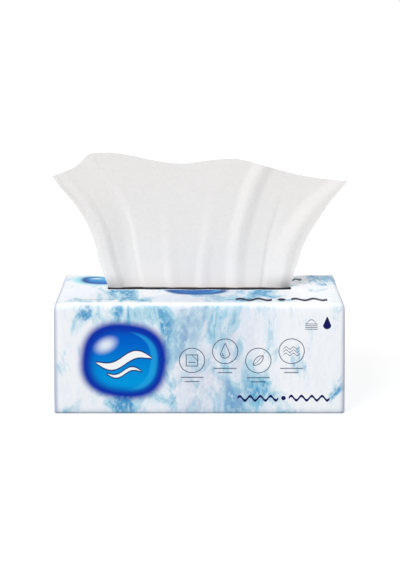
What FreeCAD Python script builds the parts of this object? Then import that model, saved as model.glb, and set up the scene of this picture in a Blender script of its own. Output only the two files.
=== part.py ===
"""A soft film pack of interfolded paper towels, opened at its top slot, with one towel pulled up.

The pile of folded towels is wrapped in one printed plastic film. The film is a sleeve, closed at
both ends by envelope folds, and lapped along the middle of its underside. X runs along the pack,
Y from its front to its back and Z upwards. The origin is the middle of the face it stands on.
All sizes are in millimetres.
"""
import FreeCAD, Part
import math
import os

from FreeCAD import Vector

# The towels: each is folded in two along the pack, so that two layers of each lie in the pile.
towel_width = 211.0
towel_length = 212.0
towel_thickness = 0.4
towels_in_pile = 98
pressed_layer = 0.39
layer_gap = 0.15

# The film, thicker than the real 0.05 mm, and the room that it leaves round the towels.
film_thickness = 0.25
end_clearance = 0.75
side_clearance = 0.6
head_room = 6.9
side_swell = 0.6
top_swell = 0.6
top_edge_radius = 4.5
bottom_edge_radius = 2.5
end_edge_radius = 2.0
end_fold_reach = 46.0
seam_lap = 12.0
seam_edge_width = 0.5
seam_edge_depth = 0.1

# The slot torn open in the top, and where the raised towel stands in it.
slot_length = 140.0
slot_width = 13.0
slot_corner_radius = 2.5
slot_offset = 1.0
slot_end_clearance = 0.4
towel_behind_slot_middle = 3.0

# The raised towel's outline above the film. Each side leans out steadily and flares to its tip,
# and the free edge between the tips is given as places along X and drops below its crest.
standing_height = 104.2
left_lean = 0.27
left_flare = 17.5
left_flare_power = 3.7
left_tip_drop = 17.7
right_lean = 0.26
right_flare = 20.5
right_flare_power = 2.9
right_tip_drop = 22.6
free_edge_drops = [
    (-93.0, 9.4), (-83.5, 2.0), (-70.0, 0.0), (-43.0, 4.2), (-14.0, 8.2),
    (20.0, 5.0), (38.0, 6.4), (56.0, 11.7), (83.5, 18.4),
]
backward_lean = 7.0
bend_radius = 4.5
flat_start = 38.0

# Folds of the raised towel, from left to right: middle at the slot, middle at the free edge and
# half width, all as shares of the width, then the step backwards at the slot and at the edge.
towel_folds = [
    (0.095, 0.110, 0.060, 2.6, 1.8),
    (0.195, 0.150, 0.045, -1.8, -1.6),
    (0.650, 0.690, 0.055, -3.2, -2.4),
    (0.760, 0.780, 0.055, 3.0, 2.2),
    (0.905, 0.930, 0.055, -3.0, -2.4),
]
net_columns = 22
fan_rows = 4
fan_margin = 1.5

# Limits that keep corners and folds sound, the first three as shares of what they are cut in.
widest_flap = 0.9
roundest_end = 0.9
roundest_corner = 0.45
film_behind_corners = 0.2
hair = 0.001

# Sizes that follow from those above.
half_towel = towel_length / 2
end_wall = 3 * film_thickness
end_radius = min(end_edge_radius, roundest_end * min(top_edge_radius, bottom_edge_radius))
pile_bottom = 2 * film_thickness
pile_height = towels_in_pile * 2 * pressed_layer
pile_top = pile_bottom + pile_height
pack_length = towel_width + 2 * (end_clearance + end_wall)
pack_width = half_towel + 2 * (side_clearance + film_thickness + side_swell)
pack_height = pile_top + head_room + film_thickness
turn_radius = towel_thickness + layer_gap
fold_reach = half_towel / 2 - turn_radius - towel_thickness / 2
standing_y = slot_offset + towel_behind_slot_middle
slot_front = slot_offset - slot_width / 2
gathered_width = slot_length - 2 * slot_end_clearance
gathered_left = -gathered_width / 2
gathered_right = gathered_width / 2
left_tip_height = standing_height - left_tip_drop
right_tip_height = standing_height - right_tip_drop
free_edge = [(x, standing_height - drop) for x, drop in free_edge_drops]


def layer_level(layer):
    """Height of the middle of a loose towel layer, counted from 0 just above the pile."""
    return pile_top + layer_gap + towel_thickness / 2 + layer * turn_radius


bend_foot = layer_level(3)
bend_top = bend_foot + bend_radius


def soft_sleeve(length, width, height, bottom, top_radius, bottom_radius):
    """A length of sleeve with a flat underside, slightly swollen sides and top, and open ends."""
    half = width / 2 - side_swell
    shoulder = bottom + height - top_swell
    front_foot = Vector(-length / 2, -half, bottom)
    back_foot = Vector(-length / 2, half, bottom)
    back_top = Vector(-length / 2, half, shoulder)
    front_top = Vector(-length / 2, -half, shoulder)
    middle_height = (bottom + shoulder) / 2
    back_swell = Vector(-length / 2, half + side_swell, middle_height)
    crown = Vector(-length / 2, 0, bottom + height)
    front_swell = Vector(-length / 2, -half - side_swell, middle_height)
    outline = Part.Wire([
        Part.makeLine(front_foot, back_foot),
        Part.Arc(back_foot, back_swell, back_top).toShape(),
        Part.Arc(back_top, crown, front_top).toShape(),
        Part.Arc(front_top, front_swell, front_foot).toShape(),
    ])
    body = Part.Face(outline).extrude(Vector(length, 0, 0))
    top_edges = [e for e in body.Edges if e.BoundBox.ZMin > middle_height]
    body = body.makeFillet(top_radius, [e for e in top_edges if e.BoundBox.XLength > length / 2])
    low_edges = [e for e in body.Edges if e.BoundBox.ZMax < middle_height]
    return body.makeFillet(bottom_radius, [e for e in low_edges if e.BoundBox.XLength > length / 2])


def end_edges(body):
    """The edges round the two end faces of a sleeve."""
    return [e for e in body.Edges if e.BoundBox.XLength < hair]


def prism(outline, start, distance):
    """A straight prism along X whose outline is given as (y, z) corners."""
    corners = [Vector(start, y, z) for y, z in outline]
    return Part.Face(Part.makePolygon(corners + corners[:1])).extrude(Vector(distance, 0, 0))


def end_fold_steps(side):
    """What the folded end lacks of a full block: the tucks lie two films deep, the lower flap one.

    The creases of both flaps run in at 45 degrees from the corners, as film folds there.
    """
    half = pack_width / 2
    flap = min(end_fold_reach, half * widest_flap)
    meet = pack_height / 2
    lap_edge = pack_height - flap
    outside = half + end_radius
    tuck = [
        (-outside, -end_radius), (-half + meet, meet), (-outside, pack_height + end_radius),
    ]
    lower_flap = [
        (-outside, -end_radius), (-half + meet, meet), (-half + flap, lap_edge),
        (half - flap, lap_edge), (half - meet, meet), (outside, -end_radius),
    ]
    steps = []
    for outline, films in ((tuck, 2), ([(-y, z) for y, z in tuck], 2), (lower_flap, 1)):
        inner_face = side * (pack_length / 2 - films * film_thickness)
        steps.append(prism(outline, inner_face, side * (films * film_thickness + end_radius)))
    return steps


def slot_opening():
    """The slot through the top of the film, with rounded corners."""
    reach = top_swell + 2 * film_thickness
    block = Part.makeBox(
        slot_length, slot_width, 2 * reach,
        Vector(-slot_length / 2, slot_front, pack_height - reach),
    )
    upright = [e for e in block.Edges if e.BoundBox.ZLength > reach]
    return block.makeFillet(min(slot_corner_radius, slot_width * roundest_corner), upright)


def room_chamfer():
    """The chamfer inside the end edges that leaves the film whole behind their rounded outside."""
    rounded_away = end_radius * (math.sqrt(2) - 1)
    corner_depth = (rounded_away + film_behind_corners) * math.sqrt(2)
    return max(corner_depth - end_wall - film_thickness, film_thickness)


def film_wrapper():
    """The printed film: a sleeve with its underside lap, folded ends and torn slot."""
    outside = soft_sleeve(
        pack_length, pack_width, pack_height, 0, top_edge_radius, bottom_edge_radius,
    )
    outside = outside.makeFillet(end_radius, end_edges(outside))
    inside = soft_sleeve(
        pack_length - 2 * end_wall, pack_width - 2 * film_thickness,
        pack_height - 2 * film_thickness, film_thickness,
        top_edge_radius - film_thickness, bottom_edge_radius - film_thickness,
    )
    inside = inside.makeChamfer(room_chamfer(), end_edges(inside))
    lap = Part.makeBox(
        pack_length - 2 * end_wall, seam_lap, film_thickness,
        Vector(end_wall - pack_length / 2, -seam_lap / 2, film_thickness),
    )
    room = inside.cut(lap)
    lap_edge = Part.makeBox(
        pack_length, seam_edge_width, seam_edge_depth,
        Vector(-pack_length / 2, seam_lap / 2 - seam_edge_width, 0),
    )
    steps = end_fold_steps(1) + end_fold_steps(-1)
    return outside.cut([room, lap_edge, slot_opening()] + steps)


def towel_pile():
    """The folded towels still pressed together, as one block that rests on the lap of the film."""
    block = Part.makeBox(
        towel_width, half_towel, pile_height,
        Vector(-towel_width / 2, -half_towel / 2, pile_bottom),
    )
    low = [e for e in block.Edges if e.BoundBox.ZMax < pile_bottom + hair]
    return block.makeFillet(bottom_edge_radius - film_thickness, low)


def folded_strip(fold_y, facing, lower, upper, lower_end, upper_end):
    """A towel layer that turns back over itself, with its fold along X at the given y.

    Facing is 1 where the fold points to the back of the pack and -1 where it points to the front.
    """
    half = towel_thickness / 2
    middle = (lower + upper) / 2
    outer = facing * ((upper - lower) / 2 + half)
    inner = facing * ((upper - lower) / 2 - half)

    def at(y, z):
        return Vector(-towel_width / 2, y, z)

    outline = Part.Wire([
        Part.makeLine(at(lower_end, lower - half), at(fold_y, lower - half)),
        Part.Arc(at(fold_y, lower - half), at(fold_y + outer, middle),
                 at(fold_y, upper + half)).toShape(),
        Part.makeLine(at(fold_y, upper + half), at(upper_end, upper + half)),
        Part.makeLine(at(upper_end, upper + half), at(upper_end, upper - half)),
        Part.makeLine(at(upper_end, upper - half), at(fold_y, upper - half)),
        Part.Arc(at(fold_y, upper - half), at(fold_y + inner, middle),
                 at(fold_y, lower + half)).toShape(),
        Part.makeLine(at(fold_y, lower + half), at(lower_end, lower + half)),
        Part.makeLine(at(lower_end, lower + half), at(lower_end, lower - half)),
    ])
    return Part.Face(outline).extrude(Vector(towel_width, 0, 0))


def next_towel():
    """The towel under the raised one: folded in two at the front, with the raised towel's lower
    half between its own halves, so that it is drawn up when the raised one is taken."""
    upper_length = fold_reach * 2
    lower_length = towel_length - upper_length - math.pi * turn_radius
    lower_end = min(lower_length - fold_reach, half_towel / 2)
    return folded_strip(-fold_reach, -1, layer_level(0), layer_level(2), lower_end, fold_reach)


def smooth_step(value):
    """0 below 0, 1 above 1 and an easy curve between."""
    value = min(max(value, 0.0), 1.0)
    return value * value * (3 - 2 * value)


def left_side(height):
    """Where the raised towel's left side is at a height above the film."""
    flare = left_flare * (max(height, 0.0) / left_tip_height) ** left_flare_power
    return gathered_left - left_lean * height - flare


def right_side(height):
    """Where the raised towel's right side is at a height above the film."""
    flare = right_flare * (max(height, 0.0) / right_tip_height) ** right_flare_power
    return gathered_right + right_lean * height + flare


def fold_depth(across, up):
    """How far the raised towel stands back at a share of its width and of its height."""
    depth = 0.0
    for at_slot, at_edge, half_width, slot_step, edge_step in towel_folds:
        middle = at_slot + (at_edge - at_slot) * up
        step = slot_step + (edge_step - slot_step) * up
        depth += step * smooth_step((across - middle + half_width) / (2 * half_width))
    return depth


def fan_net():
    """Rows of points over the raised towel as a plain fan, from above its free edge to its bend."""
    left_tip = left_side(left_tip_height)
    right_tip = right_side(right_tip_height)
    top = standing_height + fan_margin
    left_top = gathered_left + (left_tip - gathered_left) * top / left_tip_height - fan_margin
    right_top = gathered_right + (right_tip - gathered_right) * top / right_tip_height + fan_margin
    foot = bend_top - pack_height
    net = []
    for row in range(fan_rows):
        up = 1 - row / (fan_rows - 1)
        height = foot + (top - foot) * up
        left = gathered_left - fan_margin + (left_top - gathered_left + fan_margin) * up
        right = gathered_right + fan_margin + (right_top - gathered_right - fan_margin) * up
        points = []
        for column in range(net_columns):
            x = left + (right - left) * column / (net_columns - 1)
            across = (x - left_side(height)) / (right_side(height) - left_side(height))
            back = standing_y + backward_lean * up * up + fold_depth(across, up)
            points.append(Vector(x, back, pack_height + height))
        net.append(points)
    return net


def bend_net(first_row):
    """Rows of points that carry the foot of the fan round a quarter circle until it lies flat."""
    handle = bend_radius * 4 / 3 * math.tan(math.pi / 8)
    foot_y = standing_y + bend_radius
    second_row = [point - Vector(0, 0, handle) for point in first_row]
    third_row = [Vector(point.x, foot_y - handle, bend_foot) for point in first_row]
    last_row = [Vector(point.x, foot_y, bend_foot) for point in first_row]
    return [second_row, third_row, last_row]


def towel_outline():
    """A block with the raised towel's outline above the film, and as wide as its gathers below."""
    side_shares = [0.0, 0.25, 0.5, 0.7, 0.85, 1.0]

    def at(x, height):
        return Vector(x, -pack_width, pack_height + height)

    def smooth_edge(points):
        curve = Part.BSplineCurve()
        curve.interpolate([at(x, height) for x, height in points])
        return curve.toShape()

    left = [(left_side(left_tip_height * share), left_tip_height * share) for share in side_shares]
    right = [(right_side(right_tip_height * share), right_tip_height * share)
             for share in side_shares]
    below = [right[0], (gathered_right, -pack_height), (gathered_left, -pack_height), left[0]]
    edges = [smooth_edge(left), smooth_edge([left[-1]] + free_edge + [right[-1]]),
             smooth_edge(right[::-1])]
    edges += [Part.makeLine(at(*start), at(*end)) for start, end in zip(below, below[1:])]
    return Part.Face(Part.Wire(edges)).extrude(Vector(0, 2 * pack_width, 0))


def net_normal(net, row, column):
    """The direction straight out of a net of points at one of them."""
    last_row = len(net) - 1
    last_column = len(net[0]) - 1
    down = net[min(row + 1, last_row)][column] - net[max(row - 1, 0)][column]
    side = net[row][min(column + 1, last_column)] - net[row][max(column - 1, 0)]
    return down.cross(side).normalize()


def even_knots(count, degree):
    """The knots and their repeats for a row of control points, clamped at both ends."""
    spans = count - degree
    marks = [float(mark) for mark in range(spans + 1)]
    return marks, [degree + 1] + [1] * (spans - 1) + [degree + 1]


def smooth_face(net):
    """A smooth face drawn by a net of control points, straight where the net has only two rows."""
    row_degree = min(3, len(net) - 1)
    column_degree = min(3, len(net[0]) - 1)
    row_marks, row_repeats = even_knots(len(net), row_degree)
    column_marks, column_repeats = even_knots(len(net[0]), column_degree)
    surface = Part.BSplineSurface()
    surface.buildFromPolesMultsKnots(
        net, row_repeats, column_repeats, row_marks, column_marks, False, False,
        row_degree, column_degree
    )
    return surface.toShape()


def sheet_solid(net, thickness, crease_rows):
    """A closed solid of a thin sheet whose middle is drawn by a net of control points.

    Its two skins are each made of faces that meet at the crease rows.
    """
    skins = []
    for side in (1, -1):
        skins.append([
            [point + net_normal(net, row, column) * (side * thickness / 2)
             for column, point in enumerate(points)]
            for row, points in enumerate(net)
        ])
    front, back = skins
    patches = [[front[0], back[0]], [front[-1], back[-1]]]
    starts = [0] + crease_rows
    ends = crease_rows + [len(net) - 1]
    for start, end in zip(starts, ends):
        bands = [skin[start:end + 1] for skin in skins]
        patches += bands
        for column in (0, -1):
            patches.append([[points[column] for points in band] for band in bands])
    shell = Part.makeShell([smooth_face(patch) for patch in patches])
    shell.sewShape()
    solid = Part.makeSolid(Part.Shell(shell.Faces))
    if solid.Volume < 0:
        solid.reverse()
    return solid


def flat_run():
    """The raised towel between its bend and its full width, where its gathers are pressed flat."""
    bottom = bend_foot - towel_thickness / 2
    near = standing_y + bend_radius
    corners = [
        Vector(gathered_left, near, bottom), Vector(gathered_right, near, bottom),
        Vector(towel_width / 2, flat_start, bottom), Vector(-towel_width / 2, flat_start, bottom),
    ]
    outline = Part.makePolygon(corners + corners[:1])
    return Part.Face(outline).extrude(Vector(0, 0, towel_thickness))


def raised_towel():
    """The towel pulled up through the slot: gathered there, spread above it, and still tucked
    round the next towel's free edge at the back, with its lower end between that one's halves."""
    fan = fan_net()
    net = fan + bend_net(fan[-1])
    standing = sheet_solid(net, towel_thickness, [fan_rows - 1]).common(towel_outline())
    heights = [height for _, height in free_edge] + [left_tip_height, right_tip_height]
    out_of_pack = sum(heights) / len(heights) + pack_height - bend_top
    round_bend = bend_radius * math.pi / 2
    along_run = fold_reach - standing_y - bend_radius
    tucked = towel_length - out_of_pack - round_bend - along_run - math.pi * turn_radius
    strip = folded_strip(
        fold_reach, 1, layer_level(1), layer_level(3), fold_reach - tucked, flat_start
    )
    return standing.fuse([flat_run(), strip]).removeSplitter()


def write_part():
    os.makedirs("parts", exist_ok=True)
    pieces = {
        "film_wrapper": film_wrapper(),
        "towel_stack": towel_pile(),
        "next_towel": next_towel(),
        "raised_towel": raised_towel(),
    }
    for name, shape in pieces.items():
        shape.exportStep(f"parts/{name}.step")
        box = shape.BoundBox
        print(f"{name}: valid {shape.isValid()}, {len(shape.Solids)} solid, {shape.Volume:.0f} mm3,"
              f" X {box.XMin:.1f} to {box.XMax:.1f}, Y {box.YMin:.1f} to {box.YMax:.1f},"
              f" Z {box.ZMin:.2f} to {box.ZMax:.2f}")


write_part()
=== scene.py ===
import math

import bmesh
import bpy
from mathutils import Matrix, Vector, noise


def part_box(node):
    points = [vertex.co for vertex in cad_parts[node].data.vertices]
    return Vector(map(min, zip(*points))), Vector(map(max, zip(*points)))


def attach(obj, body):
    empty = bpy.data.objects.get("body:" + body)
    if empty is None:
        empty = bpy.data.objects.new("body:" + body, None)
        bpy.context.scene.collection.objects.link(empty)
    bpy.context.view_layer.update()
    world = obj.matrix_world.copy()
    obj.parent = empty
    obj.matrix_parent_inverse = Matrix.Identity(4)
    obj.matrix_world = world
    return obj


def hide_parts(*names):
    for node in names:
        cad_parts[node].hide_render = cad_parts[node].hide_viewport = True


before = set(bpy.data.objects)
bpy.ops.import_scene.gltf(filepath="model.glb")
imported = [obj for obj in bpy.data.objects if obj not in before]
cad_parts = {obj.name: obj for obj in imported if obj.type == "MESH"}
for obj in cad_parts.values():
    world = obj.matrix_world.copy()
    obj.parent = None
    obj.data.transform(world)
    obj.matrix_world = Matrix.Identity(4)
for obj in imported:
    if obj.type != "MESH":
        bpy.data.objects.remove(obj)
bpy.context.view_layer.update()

mm = 0.001

# The photograph's view: a long lens a little over a metre in front of the pack, above it and
# looking slightly down on its top.
sensor_width = 36
focal_length = 97.96
camera_place = (0.5 * mm, -1162.5 * mm, 316.5 * mm)
looking_down = 11.176
camera_data = bpy.data.cameras.new("photo_camera")
camera_data.sensor_fit = "AUTO"
camera_data.sensor_width = sensor_width
camera_data.lens = focal_length
camera = bpy.data.objects.new("photo_camera", camera_data)
camera.location = camera_place
camera.rotation_euler = (math.radians(90 - looking_down), 0, 0)
bpy.context.scene.collection.objects.link(camera)
bpy.context.scene.camera = camera
bpy.context.scene.view_settings.view_transform = "Standard"


# The studio: a white floor that keeps the pack's soft shadow, a white surround, a large soft lamp
# at the front left, and weaker ones at the right and behind.
def paint(red, green, blue):
    """A colour as it looks on a screen, from 0 to 255, as the shader's linear colour."""
    def linear(value):
        share = value / 255
        return share / 12.92 if share <= 0.04045 else ((share + 0.055) / 1.055) ** 2.4
    return (linear(red), linear(green), linear(blue), 1)


class Wire:
    """A socket in a finish. Python's operators on it add Math nodes."""

    def __init__(self, finish, socket):
        self.finish = finish
        self.socket = socket

    def maths(self, operation, *terms):
        """A Math node on these terms, which include this socket where it is one of them."""
        return self.finish.add("ShaderNodeMath", {"operation": operation}, terms)

    def __add__(self, other):
        return self.maths("ADD", self, other)

    def __radd__(self, other):
        return self.maths("ADD", other, self)

    def __sub__(self, other):
        return self.maths("SUBTRACT", self, other)

    def __rsub__(self, other):
        return self.maths("SUBTRACT", other, self)

    def __mul__(self, other):
        return self.maths("MULTIPLY", self, other)

    def __rmul__(self, other):
        return self.maths("MULTIPLY", other, self)

    def __truediv__(self, other):
        return self.maths("DIVIDE", self, other)

    def __rtruediv__(self, other):
        return self.maths("DIVIDE", other, self)

    def __pow__(self, other):
        return self.maths("POWER", self, other)

    def __abs__(self):
        return self.maths("ABSOLUTE", self)

    def least(self, other):
        return self.maths("MINIMUM", self, other)

    def most(self, other):
        return self.maths("MAXIMUM", self, other)

    def rise(self, low, high):
        """0 below low and 1 above high, with an easy curve between."""
        return self.finish.add(
            "ShaderNodeMapRange", {"interpolation_type": "SMOOTHSTEP"}, [self, low, high, 0, 1]
        )

    def fall(self, low, high):
        """1 below low and 0 above high, with an easy curve between."""
        return self.finish.add(
            "ShaderNodeMapRange", {"interpolation_type": "SMOOTHSTEP"}, [self, low, high, 1, 0]
        )


class Finish:
    """A material, built from one Principled shader and the nodes added in front of it."""

    def __init__(self, name, constants):
        self.material = bpy.data.materials.new(name)
        self.material.use_nodes = True
        self.nodes = self.material.node_tree.nodes
        self.links = self.material.node_tree.links
        self.shader = self.nodes["Principled BSDF"]
        for socket, value in constants.items():
            self.shader.inputs[socket].default_value = value

    def add(self, kind, settings, inputs, output=0):
        """A new node of this kind. Its settings go first, then its sockets' values or wires."""
        node = self.nodes.new(kind)
        for name, value in settings.items():
            setattr(node, name, value)
        pairs = inputs.items() if isinstance(inputs, dict) else enumerate(inputs)
        for key, value in pairs:
            self.join(node.inputs[key], value)
        return Wire(self, node.outputs[output])

    def join(self, socket, value):
        if isinstance(value, Wire):
            self.links.new(value.socket, socket)
        else:
            socket.default_value = value

    def blend(self, share, start, end):
        """One colour turning into another as share goes from 0 to 1."""
        return self.add(
            "ShaderNodeMix", {"data_type": "RGBA"}, {0: share, 6: start, 7: end}, output=2
        )

    def split(self, place):
        """The three numbers of a place."""
        node = self.add("ShaderNodeSeparateXYZ", {}, [place]).socket.node
        return [Wire(self, socket) for socket in node.outputs]

    def cloud(self, place, scale, detail=3, roughness=0.5, distortion=0):
        """A smooth noise, about 0 to 1 and mostly near a half, at a place."""
        return self.add("ShaderNodeTexNoise", {}, {
            "Vector": place, "Scale": scale, "Detail": detail, "Roughness": roughness,
            "Distortion": distortion,
        })


floor_size = 40.0
floor_glow = (0.68, 0.68, 0.68, 1)
ambient_strength = 0.48
black = (0, 0, 0, 1)
full_white = (1, 1, 1, 1)

bpy.ops.object.select_all(action="DESELECT")
bpy.ops.mesh.primitive_plane_add(size=floor_size, location=(0, 0, 0))
floor = bpy.context.object
floor.name = "studio_floor"

# The floor's glow is seen by the camera alone and doesn't light the pack.
floor_finish = Finish("studio_white", {
    "Base Color": paint(178, 178, 178), "Roughness": 0.9, "Specular IOR Level": 0.0,
    "Emission Strength": 1,
})
seen = floor_finish.add("ShaderNodeLightPath", {}, [], output="Is Camera Ray")
floor_finish.join(
    floor_finish.shader.inputs["Emission Color"], floor_finish.blend(seen, black, floor_glow)
)
floor.data.materials.append(floor_finish.material)

surround = bpy.data.worlds.new("studio_surround")
bpy.context.scene.world = surround
surround.use_nodes = True
surround_nodes = surround.node_tree.nodes
surround_links = surround.node_tree.links
surround_nodes.clear()

# The surround is full white where it is seen or mirrored, and dimmer where it only gives light.
rays = surround_nodes.new("ShaderNodeLightPath").outputs
looked_at = rays["Is Camera Ray"]
for ray in ("Is Glossy Ray", "Is Transmission Ray"):
    either = surround_nodes.new("ShaderNodeMath")
    either.operation = "MAXIMUM"
    surround_links.new(looked_at, either.inputs[0])
    surround_links.new(rays[ray], either.inputs[1])
    looked_at = either.outputs[0]
choice = surround_nodes.new("ShaderNodeMixShader")
surround_links.new(looked_at, choice.inputs[0])
for strength, socket in ((ambient_strength, choice.inputs[1]), (1, choice.inputs[2])):
    background = surround_nodes.new("ShaderNodeBackground")
    background.inputs["Color"].default_value = full_white
    background.inputs["Strength"].default_value = strength
    surround_links.new(background.outputs[0], socket)
world_end = surround_nodes.new("ShaderNodeOutputWorld")
surround_links.new(choice.outputs[0], world_end.inputs["Surface"])


def soft_lamp(name, azimuth, elevation, strength, softness):
    """A far lamp that shines evenly from one side. Azimuth 0 is the front and 90 the right."""
    data = bpy.data.lights.new(name, "SUN")
    data.energy = strength
    data.angle = math.radians(softness)
    lamp = bpy.data.objects.new(name, data)
    turn = math.radians(azimuth)
    rise = math.radians(elevation)
    towards = Vector((
        math.sin(turn) * math.cos(rise), -math.cos(turn) * math.cos(rise), math.sin(rise)
    ))
    lamp.location = towards
    lamp.rotation_euler = (-towards).to_track_quat("-Z", "Y").to_euler()
    bpy.context.scene.collection.objects.link(lamp)


soft_lamp("key_lamp", -40, 31, 2.1, 40)
soft_lamp("fill_lamp", 60, 25, 0.25, 40)
soft_lamp("back_lamp", 165, 40, 0.5, 40)


# The film wrapper: one printed plastic film, drawn tight round the pile as a sleeve. It is lapped
# along its underside, closed at each end by envelope folds, and torn open along its top.
film_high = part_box("film_wrapper")[1]
half_length = film_high.x
half_width = film_high.y
film_top = film_high.z
film_thickness = 0.25 * mm
top_edge_radius = 4.5 * mm
bottom_edge_radius = 2.5 * mm
end_edge_radius = 2 * mm
side_swell = 0.6 * mm
side_slack = 0.35 * mm
top_swell = 0.6 * mm
top_slack = 0.5 * mm
slack_size = 34 * mm
end_drop = 0.7 * mm
end_drop_reach = 12 * mm
corner_puff = 1.6 * mm
corner_puff_start = (62 * mm, 12 * mm)
corner_puff_run = (28 * mm, 26 * mm)
end_overhang_low = 0.8 * mm
end_overhang_change = 1.3 * mm
end_puff = 0.9 * mm
end_puff_size = (26 * mm, 20 * mm)
end_crumple = 0.15 * mm
end_crumple_size = 9 * mm
film_grid = 4 * mm
crease_width = 0.4 * mm
fold_depth = 0.3 * mm
end_fold_reach = 46 * mm
lap_edge_y = 6 * mm
lap_lift = 0.15 * mm
lap_reach = 12 * mm
hair = 0.01 * mm

slot_half_length = 70 * mm
slot_front = -5.5 * mm
slot_back = 7.5 * mm
slot_corner_radius = 2.5 * mm
slot_cutter_height = 6 * mm
perforation_pitch = 1.3 * mm
perforation_depth = 0.25 * mm
lip_lift = 0.3 * mm
lip_wave_size = 13 * mm


def single_out(piece):
    """Makes one piece the active one and the only one selected."""
    bpy.ops.object.select_all(action="DESELECT")
    bpy.context.view_layer.objects.active = piece
    piece.select_set(True)


def edit(piece):
    """Puts one piece alone into edit mode."""
    single_out(piece)
    bpy.ops.object.mode_set(mode="EDIT")


def leave_edit():
    bpy.ops.object.mode_set(mode="OBJECT")


def pick(piece, kind, wanted):
    """Selects, in edit mode, only the edges or only the faces that are wanted."""
    bpy.ops.mesh.select_mode(type=kind)
    bpy.ops.mesh.select_all(action="DESELECT")
    mesh = bmesh.from_edit_mesh(piece.data)
    for part in mesh.edges if kind == "EDGE" else mesh.faces:
        part.select_set(wanted(part))
    bmesh.update_edit_mesh(piece.data)


def cut_all(place, across):
    """Cuts every face of the piece in edit mode along a plane."""
    bpy.ops.mesh.select_all(action="SELECT")
    bpy.ops.mesh.bisect(plane_co=place, plane_no=across)


def block(name, middle, size):
    """A plain block with its faces square to the axes."""
    bpy.ops.object.select_all(action="DESELECT")
    bpy.ops.mesh.primitive_cube_add(size=1, location=middle)
    piece = bpy.context.object
    piece.name = name
    piece.scale = size
    bpy.ops.object.transform_apply(location=True, rotation=False, scale=True)
    return piece


def apply_modifiers(piece):
    single_out(piece)
    for modifier in list(piece.modifiers):
        bpy.ops.object.modifier_apply(modifier=modifier.name)


def runs_along(edge):
    """Whether an edge of the block runs along the pack."""
    return abs(edge.verts[0].co.x - edge.verts[1].co.x) > half_length


film = block("printed_film", (0, 0, film_top / 2), (2 * half_length, 2 * half_width, film_top))
edit(film)
pick(film, "EDGE", lambda e: runs_along(e) and e.verts[0].co.z > film_top / 2)
bpy.ops.mesh.bevel(offset=top_edge_radius, segments=8, affect="EDGES")
pick(film, "EDGE", lambda e: runs_along(e) and max(v.co.z for v in e.verts) < hair)
bpy.ops.mesh.bevel(offset=bottom_edge_radius, segments=5, affect="EDGES")
pick(film, "EDGE", lambda e: abs(e.verts[0].co.x + e.verts[1].co.x) > 2 * half_length - hair)
bpy.ops.mesh.bevel(offset=end_edge_radius, segments=5, affect="EDGES")


def even_cuts(start, end, pitch):
    """Places of the cuts that divide a stretch evenly, at about the pitch."""
    count = round((end - start) / pitch)
    return [start + (end - start) * step / count for step in range(1, count)]


bpy.ops.mesh.select_mode(type="FACE")
for x in even_cuts(-half_length + end_edge_radius, half_length - end_edge_radius, film_grid):
    cut_all((x, 0, 0), (1, 0, 0))
lap_cuts = [lap_edge_y, lap_edge_y + crease_width]
flat_half = half_width - top_edge_radius
for y in even_cuts(-flat_half, flat_half, film_grid) + lap_cuts:
    cut_all((0, y, 0), (0, 1, 0))
for z in even_cuts(bottom_edge_radius, film_top - top_edge_radius, film_grid):
    cut_all((0, 0, z), (0, 0, 1))

# The creases of the end folds are cut twice, so that each flap has a crisp edge. Cuts that fall
# together are merged.
merge_distance = 0.02 * mm
upper_flap_edge = film_top - end_fold_reach
crease_lines = [((0, 0, upper_flap_edge), (0, 0, 1)),
                ((0, 0, upper_flap_edge - crease_width), (0, 0, 1))]
for side in (-1, 1):
    for corner_height, rise in ((film_top, -1), (0, 1)):
        across = Vector((0, rise, side)).normalized()
        for shift in (0, crease_width):
            corner = Vector((0, side * half_width, corner_height + rise * -shift * math.sqrt(2)))
            crease_lines.append((corner, across))
for place, across in crease_lines:
    pick(film, "FACE", lambda f: abs(f.calc_center_median().x) > half_length - hair)
    bpy.ops.mesh.bisect(plane_co=place, plane_no=across)
bpy.ops.mesh.select_all(action="SELECT")
bpy.ops.mesh.remove_doubles(threshold=merge_distance)
leave_edit()


def easy(value):
    """0 below 0 and 1 above 1, with an easy curve between."""
    value = min(max(value, 0.0), 1.0)
    return value * value * (3 - 2 * value)


def ramp(value, width):
    """0 at or above 0 and 1 at or below minus width."""
    return min(max(-value / width, 0), 1)


def flap_recess(y, z):
    """How deep the folded end lies below its outermost flap, counted in films."""
    inward = half_width - abs(y)
    beyond_upper = min((inward - (film_top - z)) / math.sqrt(2), z - upper_flap_edge)
    beyond_lower = (inward - z) / math.sqrt(2)
    return ramp(beyond_upper, crease_width) * (1 + ramp(beyond_lower, crease_width))


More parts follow.
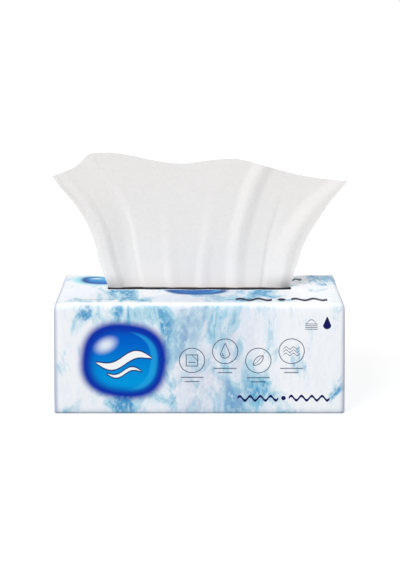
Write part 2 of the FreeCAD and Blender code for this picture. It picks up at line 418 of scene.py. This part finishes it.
def shape_film(point):
    """Moves a point of the plain block to where the film lies there."""
    x, y, z = point
    up = (2 * z - film_top) / film_top
    across = y / half_width
    along = x / half_length
    end_ease = max(0, 1 - along ** 8)
    slack = noise.noise(Vector((x, y, z)) / slack_size) * end_ease
    moved = Vector(point)
    moved.y += across * (slack * side_slack * (1 - up * up) - side_swell * up * up)
    moved.x += along ** 9 * (end_overhang_low - end_overhang_change * z / film_top)

    # The top sags at its front and its ends, and puffs up at its two back corners.
    to_end = easy(1 - (half_length - abs(x)) / end_drop_reach)
    puffed = easy((abs(x) - corner_puff_start[0]) / corner_puff_run[0])
    puffed *= easy((y - corner_puff_start[1]) / corner_puff_run[1])
    moved.z += max(up, 0) ** 2 * (
        slack * top_slack * (1 - across * across) - top_swell * across * across
        - end_drop * to_end * to_end * (1 - across) + corner_puff * puffed
    )
    if abs(x) > half_length - hair:
        side = math.copysign(1, x)
        middle = (1 - up * up) * (1 - across * across)
        swell = end_puff * noise.noise(
            Vector((side * 5, y / end_puff_size[0], z / end_puff_size[1]))
        )
        crumple = noise.noise(
            Vector((x, y * 1.7, z)) / end_crumple_size + Vector((7, 3, 1))
        )
        moved.x += side * (
            middle * swell - end_crumple * abs(crumple) - flap_recess(y, z) * fold_depth
        )
    if z < hair and y > lap_edge_y + hair:
        moved.z += lap_lift * max(0, 1 - (y - lap_edge_y) / lap_reach)
    return moved


for vertex in film.data.vertices:
    vertex.co = shape_film(vertex.co)

# The flat film's own layout: millimetres along the pack and round the sleeve, with the front
# upright. The print uses it, as shares of a 400 mm square.
web_span = 400 * mm
web_left = 165 * mm
web_foot = 58 * mm
web = film.data.uv_layers.new(name="OFBake")


def web_place(point, centre):
    """Where a point of the finished film lies on the flat film."""
    x, y, z = point
    from_front = y + half_width
    from_back = half_width - y
    back_foot = 2 * film_top + 2 * half_width
    above = centre.z > film_top / 2
    if centre.y > 0:
        round_ = 2 * film_top - z + from_front if above else back_foot - z + from_back
    else:
        round_ = z + from_front if above else z - from_front
    if abs(centre.x) > half_length - end_edge_radius:
        side = math.copysign(1, centre.x)
        inward = half_width - abs(centre.y)
        if inward > film_top - centre.z and centre.z > upper_flap_edge - crease_width:
            x += side * (film_top - z)
            round_ = film_top + from_front
        elif inward > centre.z:
            x += side * z
            round_ = -from_front if centre.y < 0 else back_foot + from_back
        else:
            x += side * (half_width - abs(y))
            round_ = z if centre.y < 0 else back_foot - z
    return (x + web_left) / web_span, (round_ + web_foot) / web_span


for face in film.data.polygons:
    for corner in face.loop_indices:
        vertex = film.data.vertices[film.data.loops[corner].vertex_index]
        web.data[corner].uv = web_place(vertex.co, face.center)

walls = film.modifiers.new("film_thickness", "SOLIDIFY")
walls.thickness = film_thickness
walls.offset = -1
walls.material_offset = 1
walls.material_offset_rim = 1

# The slot is torn along a perforation, which leaves its edge finely toothed.
slot_middle = (slot_front + slot_back) / 2
slot_cutter = block("slot_cutter", (0, slot_middle, film_top),
                    (2 * slot_half_length, slot_back - slot_front, slot_cutter_height))
edit(slot_cutter)
pick(slot_cutter, "EDGE", lambda e: abs(e.verts[0].co.z - e.verts[1].co.z) > mm)
bpy.ops.mesh.bevel(offset=slot_corner_radius, segments=5, affect="EDGES")
straight_run = slot_half_length - slot_corner_radius
teeth = int(2 * straight_run / perforation_pitch)
for tooth in range(1, 2 * teeth):
    cut_all((-straight_run + straight_run * tooth / teeth, 0, 0), (1, 0, 0))
leave_edit()
for vertex in slot_cutter.data.vertices:
    step = round((vertex.co.x + straight_run) * teeth / straight_run)
    if abs(vertex.co.x) < straight_run and step % 2:
        outward = 1 if vertex.co.y > slot_middle else -1
        vertex.co.y += outward * perforation_depth
tear = film.modifiers.new("torn_slot", "BOOLEAN")
tear.operation = "DIFFERENCE"
tear.solver = "EXACT"
tear.object = slot_cutter
tear.material_mode = "TRANSFER"


# The print: a pale blue watercolour wash that runs round the sleeve, soft glossy badges, and thin
# line pictures. The film's inner face and its torn edge are plain white.
film_print = Finish("printed_film", {"Roughness": 0.4, "IOR": 1.3, "Specular IOR Level": 0.1})
place = film_print.add("ShaderNodeUVMap", {"uv_map": "OFBake"}, [])
share_along, share_round = film_print.split(place)[:2]
along = share_along * (web_span / mm) - web_left / mm
rounds = share_round * (web_span / mm) - web_foot / mm
front_top = film_top / mm
top_depth = 2 * half_width / mm
top_middle = front_top + top_depth / 2


def web_vector(stretch_along, stretch_round, shift):
    """The place on the flat film, drawn out in one direction, for a noise to be laid on."""
    return film_print.add("ShaderNodeCombineXYZ", {}, [
        along * stretch_along, rounds * stretch_round, shift
    ])


def over(share, paint_on_top, under):
    """The colour under, with a paint laid over it where share is above 0."""
    return film_print.blend(share, under, paint_on_top)


def sine(value):
    return value.maths("SINE", value)


# Watercolour: fine upright streaks over near white, pale washes, pools of blue with a wet edge,
# and thin drips. The pools gather round a few places on the sleeve.
near_white = paint(250, 252, 255)
navy = paint(26, 28, 92)
ink = paint(4, 6, 44)
line_colour = paint(54, 64, 98)
streaks = film_print.cloud(web_vector(0.34, 0.07, 1), 1, 5, 0.65)
grain = film_print.cloud(web_vector(0.9, 0.5, 3), 1, 3, 0.6)
wash = film_print.cloud(web_vector(0.030, 0.012, 12), 1, 5, 0.6, 0.8)
mottle = film_print.cloud(web_vector(0.30, 0.18, 5), 1, 5, 0.6)
field = film_print.cloud(web_vector(0.060, 0.027, 47), 1, 5, 0.55, 0.9)
veins = film_print.cloud(web_vector(0.085, 0.020, 8), 1, 4, 0.55, 0.7)

pool_places = [  # middle along and round, half size along and round, and strength
    (-44, 75, 17, 9, 0.24), (-82, 76, 6, 6, 0.12), (-10, 64, 5, 16, 0.03), (8, 68, 5, 22, 0.11),
    (26, 64, 5, 16, 0.09), (-15, 14, 6, 16, 0.10), (-51, 5, 10, 10, 0.26), (19, 9, 9, 13, 0.16),
    (44, 12, 7, 15, 0.24), (81, 20, 6, 9, 0.06), (-124, 45, 9, 40, 0.11), (126, 45, 10, 40, 0.11),
]
dryness = 0.055
gathering = -dryness
for middle, height, spread, reach, more in pool_places:
    offset = (along - middle) / spread
    climb = (rounds - height) / reach
    gathering = gathering + more / (1 + offset * offset + climb * climb)
on_top = rounds.rise(88, 100) * rounds.fall(178, 190)
at_back = (rounds - top_middle).rise(5, 30)
on_top_more = (
    abs(along - 12).fall(40, 90) * 0.05 + abs(along + 57).fall(6, 16) * 0.12
    + abs(along - 42).fall(10, 26) * 0.11 + along.rise(78, 90) * at_back * 0.20
)
soaked = field + gathering + on_top * on_top_more
quiet_right = along.rise(46, 66) * along.fall(104, 112)
quiet_left = along.fall(-84, -66) * along.rise(-112, -104)
quiet = 1 - quiet_right * 0.9 - quiet_left * 0.7

wet_edge = soaked.rise(0.538, 0.552) * soaked.fall(0.556, 0.580) * streaks.rise(0.40, 0.62)
vein_line = abs(veins - 0.5).fall(0.003, 0.022) * wash.rise(0.42, 0.58) * mottle.rise(0.36, 0.60)
grey_veil = (
    wash.fall(0.42, 0.58) * mottle.rise(0.2, 0.6) * along.rise(-28, -8) * along.fall(30, 52)
)

# Painted highlight: the film is painted pale along its long top edges, where they catch the light.
# Painted shade:
# it is painted a little greyer at its end edges, more at the left end, and along the foot of its
# front.
highlight_inset = 2.8
front_edge_highlight = abs(rounds - front_top - highlight_inset).fall(2.0, 5.4)
back_edge_highlight = abs(rounds - front_top - top_depth + highlight_inset).fall(2.0, 5.4)
end_edge_shade = abs(along).rise(103, 107) * abs(along).fall(107.2, 109.5)
foot_shade = rounds.rise(-6, -2) * rounds.fall(-1, 5)

washes = [  # where and how much each paint covers, and its colour, the lowest first
    (streaks.rise(0.38, 0.72) * 0.22, (224, 233, 249)),
    (wash.rise(0.38, 0.66) * quiet * 0.55, (204, 224, 247)),
    (soaked.rise(0.46, 0.61) * quiet * 0.65, (178, 222, 238)),
    (soaked.rise(0.52, 0.64) * mottle.rise(0.26, 0.68) * 0.8, (126, 198, 224)),
    (soaked.rise(0.59, 0.72) * mottle.rise(0.28, 0.58) * 0.9, (66, 150, 204)),
    (wet_edge * quiet * 0.45, (104, 190, 214)),
    (vein_line * quiet * 0.5, (128, 206, 226)),
    (grey_veil * 0.5, (190, 201, 224)),
    (grain.rise(0.52, 0.80) * 0.11, (156, 188, 224)),
    # painted highlight along the long top edges
    (front_edge_highlight.most(back_edge_highlight) * 0.85, (253, 254, 255)),
    # painted shade at the end edges, stronger at the left end
    (end_edge_shade * (0.7 + along.fall(-1, 1) * 0.3), (184, 189, 212)),
    # painted shade along the foot of the front
    (foot_shade * 0.4, (138, 172, 202)),
]
colour = near_white
for share, tint in washes:
    colour = over(share, paint(*tint), colour)


def spot(middle_along, middle_round, half_along, half_round, roundness=2.0, tilt=0.0):
    """How far out a place is from the middle of an oval: 0 there and 1 on its outline."""
    turn = math.radians(tilt)
    a = along - middle_along
    b = rounds - middle_round
    p = a * (math.cos(turn) / half_along) + b * (math.sin(turn) / half_along)
    q = b * (math.cos(turn) / half_round) - a * (math.sin(turn) / half_round)
    return (abs(p) ** roundness + abs(q) ** roundness) ** (1 / roundness)


def glossy_badge(under, middle, size, tilt, low, high, dark):
    """A soft-edged glossy pebble of blue, laid over the colour under it."""
    x, y = middle
    across, tall = size
    body = spot(x, y, across, tall, 2.5, tilt)
    climb = (rounds - y) / tall
    core = film_print.blend(climb.rise(-0.8, 0.8), paint(*low), paint(*high))
    fill = over(body.rise(0.58, 0.86), paint(*dark), core)
    rim = spot(x - across * 0.10, y + tall * 0.02, across * 0.70, tall * 0.72, 2.4, tilt)
    crescent = rim.rise(0.97, 1.03) * body.fall(0.70, 0.78) * (along - x).rise(0, across * 0.4)
    fill = over(crescent * 0.6, paint(40, 176, 236), fill)
    gloss = spot(x - across * 0.40, y + tall * 0.40, across * 0.34, tall * 0.24, 2, 28)
    fill = over(gloss.fall(0.1, 1.05) * 0.9, paint(240, 248, 255), fill)
    return over(body.fall(0.86, 1.08), fill, under)


# The front's badge, with two white ribbons: half the run, the middle above the badge's, the swing
# and half the thickness of each.
badge_along, badge_round = -55.4, 40.6
colour = glossy_badge(colour, (badge_along, badge_round), (33.0, 30.0), -6,
                      (0, 158, 228), (0, 92, 204), (14, 52, 172))
for half_run, middle, swing, thick in ((21.0, 0.5, 3.2, 3.3), (13.0, -8.6, 2.1, 1.5)):
    share = (along - badge_along) / half_run
    ribbon_middle = (
        badge_round + middle + share * (half_run * 0.14) + swing * sine(share * 3.6)
    )
    ribbon_half = thick * (1 - share * share).most(0) ** 0.8
    beyond = abs(rounds - ribbon_middle) - ribbon_half
    on_ribbon = abs(share).fall(0.98, 1.0)
    colour = over(beyond.fall(0.4, 1.1) * on_ribbon, paint(20, 34, 110), colour)
    colour = over(beyond.fall(-0.5, 0.1) * on_ribbon, paint(252, 254, 255), colour)

# Four thin rings in a zigzag, each with a line picture and two plain bars under it.
ring_start = -5.4
ring_pitch = 24.4
low_ring_height = 41.0
ring_stagger = 7.0
ring_radius = 9.3
cell = (along - (ring_start - ring_pitch / 2)) / ring_pitch
number = cell.maths("FLOOR", cell)
in_row = abs(cell - 2).fall(1.99, 2.0)
p = (cell - number - 0.5) * ring_pitch
q = rounds - low_ring_height - number.maths("MODULO", number, 2) * ring_stagger


def line(field, half=0.16, soft=0.22):
    """A thin line where the field is 0."""
    return abs(field).fall(half, half + soft)


def any_of(shapes):
    """The shapes together."""
    together = shapes[0]
    for shape in shapes[1:]:
        together = together.most(shape)
    return together


def drop_shape(p, q, radius, point):
    """0 on the outline of a drop with a round foot and a pointed top, less inside it."""
    narrow = (1 - q.most(0) / point).most(0.02)
    width = p / narrow
    foot = q.least(0)
    return ((width * width + foot * foot) ** 0.5 - radius) * narrow


def from_centre(p, q):
    return (p * p + q * q) ** 0.5


square = abs(p).most(abs(q)) - 4.2
folded_sheet = any_of([
    line(square), line(p + q - 4.0) * square.fall(-0.1, 0.1), line(q + 1.4) * abs(p).fall(2.6, 2.8)
])
drop_low = q + 1.8
drop = any_of([
    line(drop_shape(p, drop_low, 3.4, 8.0)) * q.fall(5.9, 6.1),
    line(from_centre(p, drop_low) - 2.1) * p.fall(-0.6, -0.4) * q.fall(-1.6, -1.4),
])
leaf_outline = from_centre(p - 3.0, q + 3.0).most(from_centre(p + 3.0, q - 3.0)) - 6.6
leaf = any_of([line(leaf_outline), line(p - q) * abs(p + q).fall(6.6, 6.8)])
ripple = q - 0.9 * sine(p * 1.15)
waves = any_of([line(ripple - level) for level in (-2.4, 0, 2.4)]) * abs(p).fall(6.0, 6.2)

pictures = any_of([
    abs(number - index).fall(0.2, 0.4) * picture
    for index, picture in enumerate((folded_sheet, drop, leaf, waves))
])
centre_distance = from_centre(p, q)
bars = any_of([
    abs(q + 13.0).fall(0.35, 0.55) * abs(p).fall(8.2, 8.5),
    abs(q + 16.2).fall(0.35, 0.55) * abs(p).fall(5.2, 5.5),
])
drawn = any_of([
    line(centre_distance - ring_radius, 0.18), pictures * centre_distance.fall(8.0, 8.2),
    bars * 0.75,
])
colour = over(drawn * in_row, line_colour, colour)

# A small stack of sheets with a solid drop to its right, and below two bold waves with a dot
# between them.
drop_round = rounds - 67.6
drop_inside = drop_shape(along - 93.6, drop_round, 3.0, 7.4).fall(-0.2, 0.1)
solid_drop = drop_inside * drop_round.fall(6.3, 6.5)
p = along - 82.0
q = rounds - 64.6
sheets = any_of([line(q - level * 1.35, 0.13) for level in range(4)]) * abs(p).fall(4.5, 4.7)
arch = 3.2 * (1 - (p / 3.4) * (p / 3.4)).most(0)
raised_line = line(q - 4.1 - arch) * abs(p).fall(3.3, 3.5)
colour = over(sheets.most(raised_line), line_colour, colour)


def wave_rule(middle, height, thickness, length_from, length_to, pitch):
    """A bold wave between two places along the pack."""
    centre = (length_from + length_to) / 2
    half = (length_to - length_from) / 2
    swing = sine((along - length_from) * (2 * math.pi / pitch)) * height
    return abs(rounds - middle - swing).fall(thickness, thickness + 0.3) * abs(
        along - centre).fall(half - 0.2, half)


front_rule = 11.9
bold = any_of([
    solid_drop, spot(62.2, front_rule, 1.7, 1.7).fall(0.9, 1.1),
    wave_rule(front_rule, 1.7, 0.9, 28.0, 58.4, 7.6),
    wave_rule(front_rule, 1.7, 0.9, 66.0, 96.4, 7.6),
])

# On the top: a badge that the slot runs through, a smaller one with a pale halo at the back left,
# bold waves at the right and a fine rule at the front left. The slot's torn lip is white.
top_rule = top_middle - 40.0
bold_on_top = any_of([
    spot(60.8, top_rule, 3.0, 4.6).fall(0.9, 1.1),
    wave_rule(top_rule, 2.8, 3.2, 27.0, 53.8, 13.4),
    wave_rule(top_rule, 2.8, 3.2, 67.8, 94.6, 13.4),
    wave_rule(top_middle + 32.0, 2.4, 3.0, 68.0, 80.0, 6.0),
])
grey_rule = abs(rounds - top_rule).fall(0.3, 0.5) * abs(along + 77).fall(15.5, 16)
torn_white = abs(rounds - top_middle + 6.1).fall(0.4, 1.0) * abs(along).fall(69, 71)
small_badge = (-72.0, top_middle + 29.0)
halo = spot(*small_badge, 28, 18.5).fall(0.8, 1.1)
colour = glossy_badge(colour, (-2.0, top_middle - 1.0), (25.0, 23.0), 0,
                      (0, 112, 196), (0, 30, 104), (0, 84, 160))
colour = over(halo * 0.9, paint(150, 228, 242), colour)
colour = glossy_badge(colour, small_badge, (21.0, 13.0), 0,
                      (0, 96, 196), (60, 200, 240), (0, 70, 160))
colour = over(grey_rule * 0.7, line_colour, colour)
colour = over(torn_white * 0.8, near_white, colour)
colour = over(bold, navy, colour)
colour = over(bold_on_top, ink, colour)
film_print.join(film_print.shader.inputs["Base Color"], colour)

crinkle = film_print.cloud(place, 240, 3, 0.5)
film_print.join(film_print.shader.inputs["Normal"], film_print.add(
    "ShaderNodeBump", {}, {"Strength": 0.15, "Distance": 0.1 * mm, "Height": crinkle}
))

film_inside = Finish("film_inside", {"Base Color": paint(236, 238, 242), "Roughness": 0.45})
film.data.materials.append(film_print.material)
film.data.materials.append(film_inside.material)
slot_cutter.data.materials.append(film_inside.material)
apply_modifiers(film)
bpy.data.objects.remove(slot_cutter)

# The torn lip stands up a little, more in some places than in others.
for vertex in film.data.vertices:
    x, y, z = vertex.co
    beside = max(abs(x) - slot_half_length, slot_front - y, y - slot_back)
    if z > film_top - mm and abs(beside) < 2 * perforation_depth:
        vertex.co.z += lip_lift * (0.6 + noise.noise(Vector((x / lip_wave_size, y, 0))))

# The plain inner face has its own small part of the flat layout, beside the print.
inner_corner = (0.83, 0.02)
inner_size = (0.144, 0.36)
for face in film.data.polygons:
    if face.material_index:
        for corner in face.loop_indices:
            inside = film.data.uv_layers["OFBake"].data[corner].uv
            inside.x = inner_corner[0] + inside.x * inner_size[0]
            inside.y = inner_corner[1] + inside.y * inner_size[1]
bpy.ops.object.shade_smooth_by_angle(angle=math.radians(40))
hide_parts("film_wrapper")
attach(film, "root")


# The pile: folded towels pressed together inside the film. Each shows as a soft rounded fold along
# the pack's front and back, and as thin cut edges at its ends.
towel_thickness = 0.4 * mm
pile_low, pile_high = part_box("towel_stack")
towels_in_pile = 98
fold_swell = 0.3 * mm
pile_corner = 2.25 * mm
pile_wander = 0.25 * mm
pile_wander_size = (30 * mm, 20 * mm, 5 * mm)
pile_columns = 24
arc_steps = 4

paper = Finish("soft_paper", {"Roughness": 0.9, "Specular IOR Level": 0.2})
paper_place = paper.add("ShaderNodeTexCoord", {}, [], output="Object")
pulp = paper.cloud(paper_place, 420, 3, 0.55)
paper_colour = paper.blend(pulp.rise(0.3, 0.7), paint(234, 232, 231), paint(237, 235, 234))
crepe_place = paper.add("ShaderNodeMapping", {}, {"Vector": paper_place, "Scale": (0.5, 0.5, 3.0)})
crepe = paper.cloud(crepe_place, 900, 2, 0.5)
paper.join(paper.shader.inputs["Normal"], paper.add("ShaderNodeBump", {}, {
    "Strength": 0.035, "Distance": 0.1 * mm, "Height": crepe + pulp
}))

# The raised towel's foot is painted lighter in the middle, a painted light, and painted shade
# darkens its ends. In the slot the towels are darkened by a deeper painted shade, the deepest where
# the raised one passes between the film's edges.
paper_x, paper_y, paper_z = (number / mm for number in paper.split(paper_place))
above_film = paper_z - film_top / mm
towards_end = abs(paper_x + 3).rise(44, 74)
foot_light = above_film.fall(1, 26) * (1 - towards_end) * above_film.rise(-1, 1)
end_shade = above_film.fall(0.3, 12.0) * 0.62 * towards_end * above_film.rise(-8, -2)
slot_shade = (
    above_film.fall(-0.6, 0.4) * abs(paper_x).fall(71, 80) * abs(paper_y - 1.0).fall(8, 16)
    * (0.42 + 0.58 * above_film.rise(-3.4, -2.2))
)
# painted light at the foot, painted shade at the ends and in the slot
for share, tint in ((foot_light, (243, 240, 239)), (end_shade, (150, 151, 154)),
                    (slot_shade, (54, 56, 64))):
    paper_colour = paper.blend(share, paper_colour, paint(*tint))
paper.join(paper.shader.inputs["Base Color"], paper_colour)


def pile_outline():
    """The pile seen from its end: a row of small rounded folds up the back and down the front."""
    pitch = (pile_high.z - pile_low.z) / towels_in_pile
    side = []
    for towel in range(towels_in_pile):
        for step in range(arc_steps):
            share = step / arc_steps
            z = pile_low.z + (towel + share) * pitch
            rounded = max(pile_corner - (z - pile_low.z), 0) / pile_corner
            inset = pile_corner * (1 - math.sqrt(max(1 - rounded * rounded, 0)))
            side.append((pile_high.y - fold_swell * (1 - math.sin(math.pi * share)) - inset, z))
    side.append((pile_high.y - fold_swell, pile_high.z))
    return side + [(-y, z) for y, z in reversed(side)]


outline = pile_outline()
corners = []
for column in range(pile_columns + 1):
    x = pile_low.x + (pile_high.x - pile_low.x) * column / pile_columns
    for y, z in outline:
        wander = noise.noise(Vector([a / size for a, size in zip((x, y, z), pile_wander_size)]))
        shift = pile_wander * wander if 0 < column < pile_columns else 0
        corners.append((x, y - math.copysign(abs(shift), y), z))
count = len(outline)
faces = []
for column in range(pile_columns):
    for index in range(count):
        after = (index + 1) % count
        first = column * count
        faces.append((first + index, first + after, first + count + after, first + count + index))
last = pile_columns * count
half_count = count // 2
for index in range(half_count - 1):
    mirror = count - 1 - index
    faces.append((index, mirror, mirror - 1, index + 1))
    faces.append((last + index, last + index + 1, last + mirror - 1, last + mirror))
pile_mesh = bpy.data.meshes.new("pressed_towels")
pile_mesh.from_pydata(corners, [], faces)
pile = bpy.data.objects.new("pressed_towels", pile_mesh)
bpy.context.scene.collection.objects.link(pile)
edit(pile)
bpy.ops.mesh.select_all(action="SELECT")
bpy.ops.mesh.normals_make_consistent(inside=False)
leave_edit()
bpy.ops.object.shade_smooth_by_angle(angle=math.radians(60))
pile.data.materials.append(paper.material)
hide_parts("towel_stack")
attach(pile, "root")


# The next towel: a loose sheet under the raised one, folded in two round its lower end. The front
# of its upper half puffs up a little below the slot.
next_low, next_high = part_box("next_towel")
raised_low, raised_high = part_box("raised_towel")
half_towel_width = next_high.x
layers = [next_low.z + towel_thickness / 2 + layer * (raised_low.z - next_low.z)
          for layer in range(4)]
turn_radius = raised_low.z - next_low.z
fold_reach = next_high.y


def across_pack(y, z, half, columns):
    """A straight row of points across the pack."""
    return [Vector(((2 * column / columns - 1) * half, y, z)) for column in range(columns + 1)]


def sheet_piece(name, rows):
    """A paper sheet through rows of points, with a UV map in shares of the sheet."""
    columns = len(rows[0])
    faces = []
    for row in range(len(rows) - 1):
        for column in range(columns - 1):
            first = row * columns + column
            faces.append((first, first + columns, first + columns + 1, first + 1))
    mesh = bpy.data.meshes.new(name)
    mesh.from_pydata([point for row in rows for point in row], [], faces)
    flat_sheet = mesh.uv_layers.new(name="sheet")
    for corner in mesh.loops:
        row, column = divmod(corner.vertex_index, columns)
        flat_sheet.data[corner.index].uv = (column / (columns - 1), 1 - row / (len(rows) - 1))
    piece = bpy.data.objects.new(name, mesh)
    bpy.context.scene.collection.objects.link(piece)
    body = piece.modifiers.new("paper_thickness", "SOLIDIFY")
    body.thickness = towel_thickness
    body.offset = 0
    apply_modifiers(piece)
    bpy.ops.object.shade_smooth_by_angle(angle=math.radians(50))
    piece.data.materials.append(paper.material)
    return piece


next_columns = 60
lower_rows = 12
fold_rows = 8
upper_rows = 40
lower_half_short = 2 * mm
free_puff = 1.6 * mm
puff_back_y = -2 * mm
puff_back_run = 8 * mm
puff_edge_run = 20 * mm
puff_wave_size = (22 * mm, 14 * mm)
front_fold = turn_radius + towel_thickness / 2 - fold_reach
lower_start = fold_reach - lower_half_short
next_rows = []
for step in range(lower_rows + 1):
    y = lower_start + (front_fold - lower_start) * step / lower_rows
    next_rows.append(across_pack(y, layers[0], half_towel_width, next_columns))
for step in range(1, fold_rows):
    turn = math.pi * step / fold_rows
    next_rows.append(across_pack(front_fold - turn_radius * math.sin(turn),
                                 layers[1] - turn_radius * math.cos(turn),
                                 half_towel_width, next_columns))
for step in range(upper_rows + 1):
    y = front_fold + (fold_reach - front_fold) * step / upper_rows
    row = across_pack(y, layers[2], half_towel_width, next_columns)
    loose = easy((puff_back_y - y) / puff_back_run) * easy((y - front_fold) / puff_edge_run)
    for point in row:
        sides = easy((half_towel_width - abs(point.x)) / puff_edge_run)
        wave = noise.noise(Vector((point.x / puff_wave_size[0], y / puff_wave_size[1], 3)))
        point.z += free_puff * (0.6 + 0.4 * wave) * loose * sides
    next_rows.append(row)
next_towel = sheet_piece("next_sheet", next_rows)
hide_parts("next_towel")
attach(next_towel, "root")


# The raised towel: one soft paper sheet, gathered in the slot and spread above it. Below the film
# it bends back, widens, and turns round the back edge of the next towel.
gathered_half = 69.6 * mm
standing_y = 5 * mm
backward_lean = 7 * mm
bend_radius = 4.5 * mm
flat_start = 38 * mm
tucked_length = 45 * mm
towel_columns = 220
fan_rows = 84
bend_rows = 10
run_rows = 12
turn_rows = 8
tucked_rows = 8

# The free edge as the photograph shows it: places across the pack and heights above the film.
free_edge = [
    (-112.0, 84.7), (-108.0, 86.3), (-104.0, 88.0), (-99.4, 89.7), (-94.8, 91.9), (-90.2, 95.4),
    (-85.6, 100.2), (-81.0, 102.1), (-76.5, 102.6), (-67.4, 102.6), (-53.7, 100.9),
    (-35.5, 96.9), (-17.3, 94.4), (-8.2, 94.6), (0.9, 96.0), (19.1, 97.9), (28.2, 97.9),
    (37.3, 96.2), (55.6, 91.1), (73.9, 86.2), (92.2, 83.1), (112.9, 81.0),
]

# The sides as it shows them: heights as shares of the side, and places across the pack.
left_side = [(0, 69.6), (0.14, 74.0), (0.25, 76.9), (0.36, 79.0), (0.46, 81.3), (0.57, 85.2),
             (0.68, 90.6), (0.79, 97.4), (0.89, 105.1), (0.95, 109.1), (1, 112.0)]
right_side = [(0, 69.6), (0.14, 73.0), (0.26, 75.8), (0.37, 78.6), (0.49, 83.0), (0.60, 88.3),
              (0.71, 94.2), (0.83, 101.0), (0.94, 108.7), (1, 112.9)]

# Folds from left to right: the middle as a share of the width and the step back in millimetres,
# each at the slot, halfway up and at the free edge, and half the fold's width in millimetres.
towel_folds = [
    ((0.014, 0.013, 0.013), (-0.8, -1.5, -2.2), 2.2), ((0.077, 0.064, 0.048), (1.7, 2.0, 1.6), 3.2),
    ((0.107, 0.103, 0.080), (1.4, 2.7, 2.6), 7.0), ((0.150, 0.145, 0.105), (0.0, 0.5, 1.4), 8.0),
    ((0.190, 0.178, 0.130), (-1.2, -1.8, -2.4), 2.5),
    ((0.330, 0.335, 0.340), (-1.2, -0.3, 0.0), 3.2), ((0.378, 0.380, 0.385), (0.9, 0.2, 0.0), 4.0),
    ((0.490, 0.525, 0.560), (-1.2, -0.4, 0.0), 3.2), ((0.538, 0.568, 0.600), (0.9, 0.2, 0.0), 4.0),
    ((0.667, 0.664, 0.695), (-1.6, -1.8, -1.7), 4.8), ((0.727, 0.717, 0.738), (1.5, 1.5, 1.4), 5.0),
    ((0.836, 0.820, 0.800), (0.6, 0.3, 0.0), 0.9), ((0.858, 0.840, 0.818), (-0.8, -0.4, 0.0), 3.0),
    ((0.905, 0.900, 0.968), (-1.8, -2.1, -1.3), 7.5), ((0.972, 0.964, 0.998), (2.5, 0.8, 0.0), 4.4),
]


def smooth_through(points, x):
    """The height at x of a smooth line through the points."""
    index = 0
    while index < len(points) - 2 and x > points[index + 1][0]:
        index += 1
    before = points[max(index - 1, 0)]
    start, end = points[index:index + 2]
    after = points[min(index + 2, len(points) - 1)]
    span = end[0] - start[0]
    leaving = (end[1] - before[1]) / (end[0] - before[0]) * span
    arriving = (after[1] - start[1]) / (after[0] - start[0]) * span
    share = min(max((x - start[0]) / span, 0), 1)
    return (
        start[1] * (1 + 2 * share) * (1 - share) ** 2 + leaving * share * (1 - share) ** 2
        + end[1] * share ** 2 * (3 - 2 * share) + arriving * share ** 2 * (share - 1)
    )


def bent(values, up):
    """The curve through three values: at the slot, halfway up and at the free edge."""
    low, middle, high = values
    return low + (4 * middle - 3 * low - high) * up + (2 * low - 4 * middle + 2 * high) * up * up


def crisp(share):
    """0 below 0 and 1 above 1, with a straight slope between and a short curve at each end."""
    share = min(max(share, 0), 1)
    curve = 0.35
    from_end = min(share, 1 - share)
    risen = from_end * from_end / (2 * curve) if from_end < curve else from_end - curve / 2
    risen /= 1 - curve
    return risen if share < 0.5 else 1 - risen


def fan_point(across, up):
    """A point of the standing part, by its share of the width and of the height there."""
    def between_sides(up):
        left = -smooth_through(left_side, up)
        right = smooth_through(right_side, up)
        return left + (right - left) * across

    width = smooth_through(left_side, up) + smooth_through(right_side, up)
    height = smooth_through(free_edge, between_sides(1)) * up
    y = standing_y + backward_lean * up * up
    for middles, steps, half in towel_folds:
        beyond = (across - bent(middles, up)) * width + half
        y += bent(steps, up) * crisp(beyond / (2 * half)) * mm
    return Vector((between_sides(up) * mm, y, film_top + height * mm))


rows = []
for row in range(fan_rows + 1):
    up = 1 - row / fan_rows
    rows.append([fan_point(column / towel_columns, up) for column in range(towel_columns + 1)])

fan_foot = rows[-1]
bend_top = layers[3] + bend_radius
for row in range(1, bend_rows + 1):
    turn = math.pi / 2 * row / bend_rows
    settle = 1 - math.cos(turn)
    rows.append([
        Vector((point.x, point.y + (standing_y + bend_radius - point.y) * settle,
                bend_top - bend_radius * math.sin(turn))) for point in fan_foot
    ])

run_start = standing_y + bend_radius
back_fold = raised_high.y - turn_radius - towel_thickness / 2
for row in range(1, run_rows + 1):
    y = run_start + (back_fold - run_start) * row / run_rows
    widen = easy((y - run_start) / (flat_start - run_start))
    half = gathered_half + (half_towel_width - gathered_half) * widen
    rows.append(across_pack(y, layers[3], half, towel_columns))

for row in range(1, turn_rows + 1):
    turn = math.pi * row / turn_rows
    rows.append(across_pack(back_fold + turn_radius * math.sin(turn),
                            layers[2] + turn_radius * math.cos(turn),
                            half_towel_width, towel_columns))

for row in range(1, tucked_rows + 1):
    y = back_fold - tucked_length * row / tucked_rows
    rows.append(across_pack(y, layers[1], half_towel_width, towel_columns))

raised_towel = sheet_piece("raised_sheet", rows)
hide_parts("raised_towel")
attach(raised_towel, "root")
